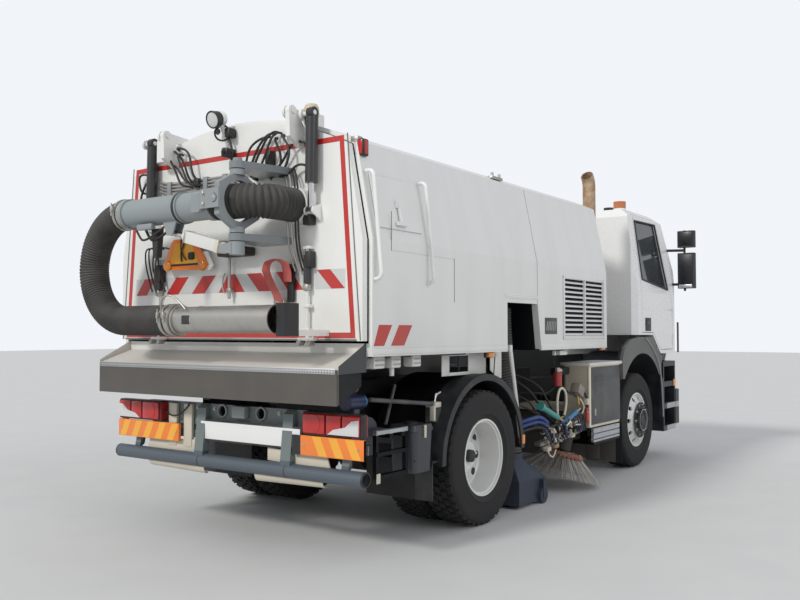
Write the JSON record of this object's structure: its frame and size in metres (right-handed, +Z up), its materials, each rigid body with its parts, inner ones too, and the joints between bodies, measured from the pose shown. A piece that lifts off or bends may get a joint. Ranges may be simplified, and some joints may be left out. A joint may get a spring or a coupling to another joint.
{
  "type": "street sweeper truck",
  "caption": "Two-axle suction street sweeper truck with a tipping dirt hopper, a rear suction boom and hose, a side brush and a tilting cab.",
  "frame": {"origin": "on the ground below the middle of the whole length and width", "axes": "+X forward, +Y the truck's left side, +Z up"},
  "size_m": [7.1218, 2.98, 3.1853],
  "materials": {
    "chassis_grey": "satin",
    "body_white": "satin",
    "door_white": "satin",
    "cab_white": "gloss",
    "rubber_black": "matte",
    "tyre_black": "matte",
    "rim_white": "satin",
    "plastic_black": "matte",
    "plastic_grey": "matte",
    "boom_grey": "satin",
    "stainless": "satin",
    "steel_worn": "matte",
    "chrome_rod": "polished",
    "ram_dark": "satin",
    "ram_white": "satin",
    "rust_tan": "rusty",
    "glass_dark": "clear",
    "lamp_red": "gloss",
    "lamp_clear": "gloss",
    "step_aluminium": "satin",
    "tank_blue": "satin",
    "box_cream": "satin",
    "bristle_steel": "matte",
    "bristle_plastic": "matte",
    "engine_iron": "rough"
  },
  "bodies": {
    "chassis": {"frame": "chassis_grey", "front_axle": "chassis_grey", "rear_axle": "chassis_grey", "engines": "engine_iron", "engine_module": "body_white", "exhaust_stack": "rust_tan", "mudguards": "plastic_black", "rear_bumper": "chassis_grey", "rear_lamps": "lamp_red", "lockers": "box_cream", "tanks": "tank_blue", "steps": "step_aluminium", "front_bumper": "plastic_grey", "headlamps": "lamp_clear", "suction_nozzle": "steel_worn", "suction_hose": "rubber_black"},
    "cab": {"cab_shell": "cab_white", "cab_glass": "glass_dark", "cab_interior": "plastic_grey", "mirrors": "plastic_black", "wheel_arches": "plastic_grey"},
    "cab_door_left": {"cab_door_left": "cab_white", "door_glass_left": "glass_dark"},
    "cab_door_right": {"cab_door_right": "cab_white", "door_glass_right": "glass_dark"},
    "knuckle_left": {"knuckle_left": "chassis_grey"},
    "knuckle_right": {"knuckle_right": "chassis_grey"},
    "wheel_front_left": {"tyre_front_left": "tyre_black", "rim_front_left": "rim_white"},
    "wheel_front_right": {"tyre_front_right": "tyre_black", "rim_front_right": "rim_white"},
    "wheels_rear_left": {"tyres_rear_left": "tyre_black", "rims_rear_left": "rim_white"},
    "wheels_rear_right": {"tyres_rear_right": "tyre_black", "rims_rear_right": "rim_white"},
    "hopper": {"hopper_shell": "body_white", "hopper_apron": "steel_worn", "apron_flap": "rubber_black"},
    "side_hatch": {"side_hatch": "body_white"},
    "tip_ram_barrels": {"tip_ram_barrels": "ram_dark"},
    "tip_ram_rods": {"tip_ram_rods": "chrome_rod"},
    "rear_door": {"rear_door": "door_white", "hose_elbow": "rubber_black"},
    "door_ram_barrels": {"door_ram_barrels": "ram_dark"},
    "door_ram_rods": {"door_ram_rods": "chrome_rod"},
    "boom_post": {"boom_post": "boom_grey"},
    "boom": {"boom_tube": "boom_grey", "boom_hose": "rubber_black", "hand_tube": "stainless"},
    "boom_ram_barrel": {"boom_ram_barrel": "ram_white"},
    "boom_ram_rod": {"boom_ram_rod": "chrome_rod"},
    "brush_arm": {"brush_arm": "chassis_grey"},
    "side_brush": {"side_brush": "bristle_steel"},
    "cross_brush": {"cross_brush": "bristle_plastic"}
  },
  "joints": [
    {"name": "steer_left", "type": "hinge", "parent": "chassis", "child": "knuckle_left", "pos_m": [2.1, 0.92, 0.522], "axis": [0, 0, 1], "range_deg": [-38, 38]},
    {"name": "steer_right", "type": "hinge", "parent": "chassis", "child": "knuckle_right", "pos_m": [2.1, -0.92, 0.522], "axis": [0, 0, 1], "range_deg": [-38, 38]},
    {"name": "wheel_front_left_spin", "type": "hinge", "parent": "knuckle_left", "child": "wheel_front_left", "pos_m": [2.1, 1.035, 0.522], "axis": [0, 1, 0], "continuous": true},
    {"name": "wheel_front_right_spin", "type": "hinge", "parent": "knuckle_right", "child": "wheel_front_right", "pos_m": [2.1, -1.035, 0.522], "axis": [0, 1, 0], "continuous": true},
    {"name": "wheels_rear_left_spin", "type": "hinge", "parent": "chassis", "child": "wheels_rear_left", "pos_m": [-1.4, 0.9185, 0.522], "axis": [0, 1, 0], "continuous": true},
    {"name": "wheels_rear_right_spin", "type": "hinge", "parent": "chassis", "child": "wheels_rear_right", "pos_m": [-1.4, -0.9185, 0.522], "axis": [0, 1, 0], "continuous": true},
    {"name": "cab_tilt", "type": "hinge", "parent": "chassis", "child": "cab", "pos_m": [3.4, 0, 0.87], "axis": [0, 1, 0], "range_deg": [0, 60]},
    {"name": "cab_door_left_hinge", "type": "hinge", "parent": "cab", "child": "cab_door_left", "pos_m": [3.165, 1.24, 2], "axis": [0, 0, -1], "range_deg": [0, 72]},
    {"name": "cab_door_right_hinge", "type": "hinge", "parent": "cab", "child": "cab_door_right", "pos_m": [3.165, -1.24, 2], "axis": [0, 0, 1], "range_deg": [0, 72]},
    {"name": "hopper_tip", "type": "hinge", "parent": "chassis", "child": "hopper", "pos_m": [-2.78, 0, 1.18], "axis": [0, -1, 0], "range_deg": [0, 50], "deforming": ["apron_flap"]},
    {"name": "tip_ram_swing", "type": "hinge", "parent": "chassis", "child": "tip_ram_barrels", "pos_m": [-2.48, 0, 0.83], "axis": [0, -1, 0], "range_deg": [0, 40.19]},
    {"name": "tip_ram_slide", "type": "slide", "parent": "tip_ram_barrels", "child": "tip_ram_rods", "axis": [0.7372, 0, 0.6757], "range_m": [0, 0.3649]},
    {"name": "side_hatch_hinge", "type": "hinge", "parent": "hopper", "child": "side_hatch", "pos_m": [-2.57, -1.1712, 2.53811], "axis": [-1, 0, 0], "range_deg": [0, 100]},
    {"name": "rear_door_hinge", "type": "hinge", "parent": "hopper", "child": "rear_door", "pos_m": [-3.07, 0, 2.97], "axis": [0, 1, 0], "range_deg": [0, 92]},
    {"name": "door_ram_swing", "type": "hinge", "parent": "hopper", "child": "door_ram_barrels", "pos_m": [-3.005, 0, 2.955], "axis": [0, 1, 0], "range_deg": [0, 88.04]},
    {"name": "door_ram_slide", "type": "slide", "parent": "door_ram_barrels", "child": "door_ram_rods", "axis": [-0.0153, 0, -0.9999], "range_m": [0, 0.0836]},
    {"name": "boom_slew", "type": "hinge", "parent": "rear_door", "child": "boom_post", "pos_m": [-3.35, -0.49, 2.35], "axis": [0, 0, 1], "range_deg": [0, 100], "deforming": ["hose_elbow"]},
    {"name": "boom_lift", "type": "hinge", "parent": "boom_post", "child": "boom", "pos_m": [-3.35, -0.49, 2.35], "axis": [1, 0, 0], "range_deg": [0, 20]},
    {"name": "boom_ram_swing", "type": "hinge", "parent": "boom_post", "child": "boom_ram_barrel", "pos_m": [-3.35, -0.405, 2.045], "axis": [1, 0, 0], "range_deg": [0, 18.7]},
    {"name": "boom_ram_slide", "type": "slide", "parent": "boom_ram_barrel", "child": "boom_ram_rod", "axis": [0, 0.9674, 0.2532], "range_m": [0, 0.1098]},
    {"name": "brush_swing", "type": "hinge", "parent": "chassis", "child": "brush_arm", "pos_m": [-0.15, -0.56, 0.69], "axis": [0, 0, -1], "range_deg": [0, 25]},
    {"name": "side_brush_spin", "type": "hinge", "parent": "brush_arm", "child": "side_brush", "pos_m": [0.48, -1, 0.326], "axis": [0.1711, -0.1711, 0.9703], "continuous": true},
    {"name": "cross_brush_spin", "type": "hinge", "parent": "chassis", "child": "cross_brush", "pos_m": [-0.175, 0.07, 0.21], "axis": [0.2898, 0.9571, 0], "continuous": true}
  ],
  "couplings": [
    {"joint": "steer_right", "follows": "steer_left", "ratio": 1},
    {"joint": "tip_ram_swing", "follows": "hopper_tip", "ratio": 0.79971},
    {"joint": "tip_ram_slide", "follows": "hopper_tip", "m_per_rad": 0.41585},
    {"joint": "door_ram_swing", "follows": "rear_door_hinge", "ratio": 0.95473},
    {"joint": "door_ram_slide", "follows": "rear_door_hinge", "m_per_rad": 0.050832},
    {"joint": "boom_ram_swing", "follows": "boom_lift", "ratio": 0.92478},
    {"joint": "boom_ram_slide", "follows": "boom_lift", "m_per_rad": 0.31171}
  ]
}
